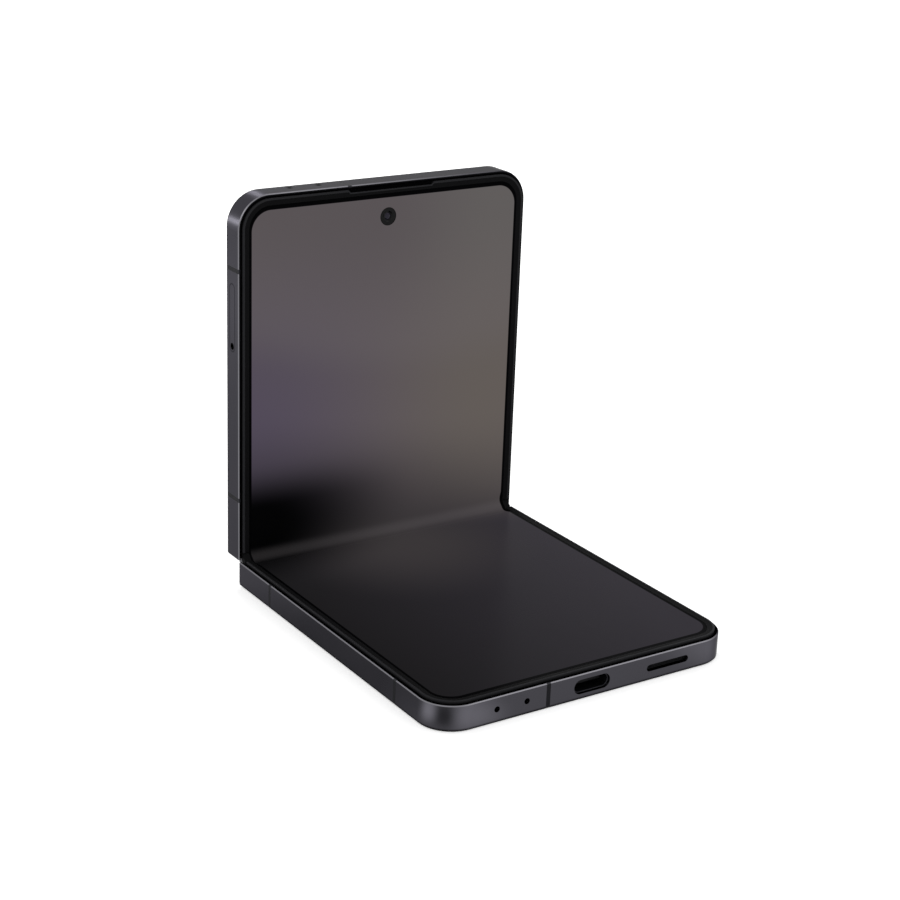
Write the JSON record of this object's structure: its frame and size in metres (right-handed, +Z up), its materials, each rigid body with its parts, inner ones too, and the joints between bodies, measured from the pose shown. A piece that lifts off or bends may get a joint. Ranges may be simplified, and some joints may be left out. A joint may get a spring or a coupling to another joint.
{
  "type": "foldable smartphone",
  "caption": "Clamshell foldable smartphone with a geared two-axis hinge, standing half open with its lower half flat.",
  "frame": {"origin": "middle of the lower half's back face, which rests on the table", "axes": "+X across the phone, -Y towards the USB end of the lower half, +Y behind the fold, +Z up along the upper half"},
  "size_m": [0.074, 0.0904, 0.0892],
  "materials": {
    "frame_metal": "fine satin anodised finish",
    "bright_metal": "satin, with a bright cut edge",
    "back_glass": "satin glass, opaque dark backing",
    "bezel_black": "soft satin",
    "band_plastic": "satin",
    "screen": "glossy flexible cover film",
    "lens_glass": "polished",
    "black_plastic": "fine texture",
    "steel": "stamped",
    "dark_steel": "satin",
    "copper": "wound or sintered",
    "board_green": "solder mask",
    "cell_foil": "laminate foil",
    "flash_lens": "frosted"
  },
  "bodies": {
    "lower": {"lower_frame": "frame_metal", "lower_back_glass": "back_glass", "lower_bezel": "bezel_black", "lower_antenna_bands": "band_plastic", "lower_display": "screen", "lower_battery": "cell_foil", "sub_board": "board_green", "usb_port": "steel", "loudspeaker": "black_plastic", "speaker_mesh": "dark_steel", "microphones": "steel", "vibration_motor": "steel", "charging_coil": "copper", "ferrite_sheet": "black_plastic", "lower_rotators": "steel", "lower_hinge_screws": "steel"},
    "spine": {"hinge_cover": "dark_steel", "hinge_blocks": "steel", "fold_caps": "bezel_black", "fold_display": "screen", "hinge_flex": "copper"},
    "upper": {"upper_frame": "frame_metal", "upper_back_glass": "back_glass", "upper_bezel": "bezel_black", "upper_antenna_bands": "band_plastic", "upper_display": "screen", "upper_battery": "cell_foil", "main_board": "board_green", "shield_cans": "steel", "camera_rings": "bright_metal", "camera_lenses": "lens_glass", "camera_modules": "black_plastic", "flash": "flash_lens", "cover_display": "screen", "earpiece": "black_plastic", "front_camera": "lens_glass", "sim_reader": "steel", "key_switches": "steel", "upper_rotators": "steel", "upper_hinge_screws": "steel"},
    "lower_wing": {"lower_wing_plate": "steel"},
    "upper_wing": {"upper_wing_plate": "steel"},
    "lower_pinion": {"lower_pinions": "steel"},
    "lower_idler": {"lower_idlers": "copper"},
    "upper_idler": {"upper_idlers": "copper"},
    "upper_pinion": {"upper_pinions": "steel"},
    "power": {"power_key": "frame_metal"},
    "volume": {"volume_rocker": "frame_metal"},
    "tray": {"sim_tray": "frame_metal"}
  },
  "joints": [
    {"name": "fold_lower", "type": "hinge", "parent": "lower", "child": "spine", "pos_m": [0, 0.04085, 0.0057], "axis": [1, 0, 0], "range_deg": [-45, 45], "deforming": ["fold_display", "hinge_flex"]},
    {"name": "fold_upper", "type": "hinge", "parent": "spine", "child": "upper", "pos_m": [0, 0.04191, 0.00676], "axis": [1, 0, 0], "range_deg": [-45, 45]},
    {"name": "lower_pinion_spin", "type": "hinge", "parent": "spine", "child": "lower_pinion", "pos_m": [0, 0.04113, 0.00351], "axis": [1, 0, 0], "range_deg": [-187.18, 187.18]},
    {"name": "lower_idler_spin", "type": "hinge", "parent": "spine", "child": "lower_idler", "pos_m": [0, 0.04212, 0.0045], "axis": [1, 0, 0], "range_deg": [-187.18, 187.18]},
    {"name": "upper_idler_spin", "type": "hinge", "parent": "spine", "child": "upper_idler", "pos_m": [0, 0.04311, 0.00549], "axis": [1, 0, 0], "range_deg": [-187.18, 187.18]},
    {"name": "upper_pinion_spin", "type": "hinge", "parent": "spine", "child": "upper_pinion", "pos_m": [0, 0.0441, 0.00648], "axis": [1, 0, 0], "range_deg": [-187.18, 187.18]},
    {"name": "lower_wing_tilt", "type": "hinge", "parent": "lower", "child": "lower_wing", "pos_m": [0, 0.0351, 0.0053], "axis": [1, 0, 0], "range_deg": [-10.1, 10.1]},
    {"name": "upper_wing_tilt", "type": "hinge", "parent": "upper", "child": "upper_wing", "pos_m": [0, 0.04231, 0.01251], "axis": [1, 0, 0], "range_deg": [-10.1, 10.1]},
    {"name": "power_press", "type": "slide", "parent": "upper", "child": "power", "axis": [-1, 0, 0], "range_m": [0, 0.00025], "stiffness_N_per_m": 800, "springref_m": -0.0003},
    {"name": "volume_rock", "type": "hinge", "parent": "upper", "child": "volume", "pos_m": [0.035, 0.04476, 0.06001], "axis": [0, -1, 0], "range_deg": [-0.9, 0.9], "stiffness_Nm_per_rad": 0.1},
    {"name": "tray_slide", "type": "slide", "parent": "upper", "child": "tray", "axis": [-1, 0, 0], "range_m": [0, 0.016]}
  ],
  "couplings": [
    {"joint": "fold_upper", "follows": "fold_lower", "ratio": 1},
    {"joint": "lower_pinion_spin", "follows": "fold_lower", "ratio": -4.1574},
    {"joint": "lower_idler_spin", "follows": "fold_lower", "ratio": 4.1574},
    {"joint": "upper_idler_spin", "follows": "fold_lower", "ratio": -4.1574},
    {"joint": "upper_pinion_spin", "follows": "fold_lower", "ratio": 4.1574},
    {"joint": "lower_wing_tilt", "follows": "fold_lower", "ratio": -0.22222},
    {"joint": "upper_wing_tilt", "follows": "fold_lower", "ratio": 0.22222}
  ]
}
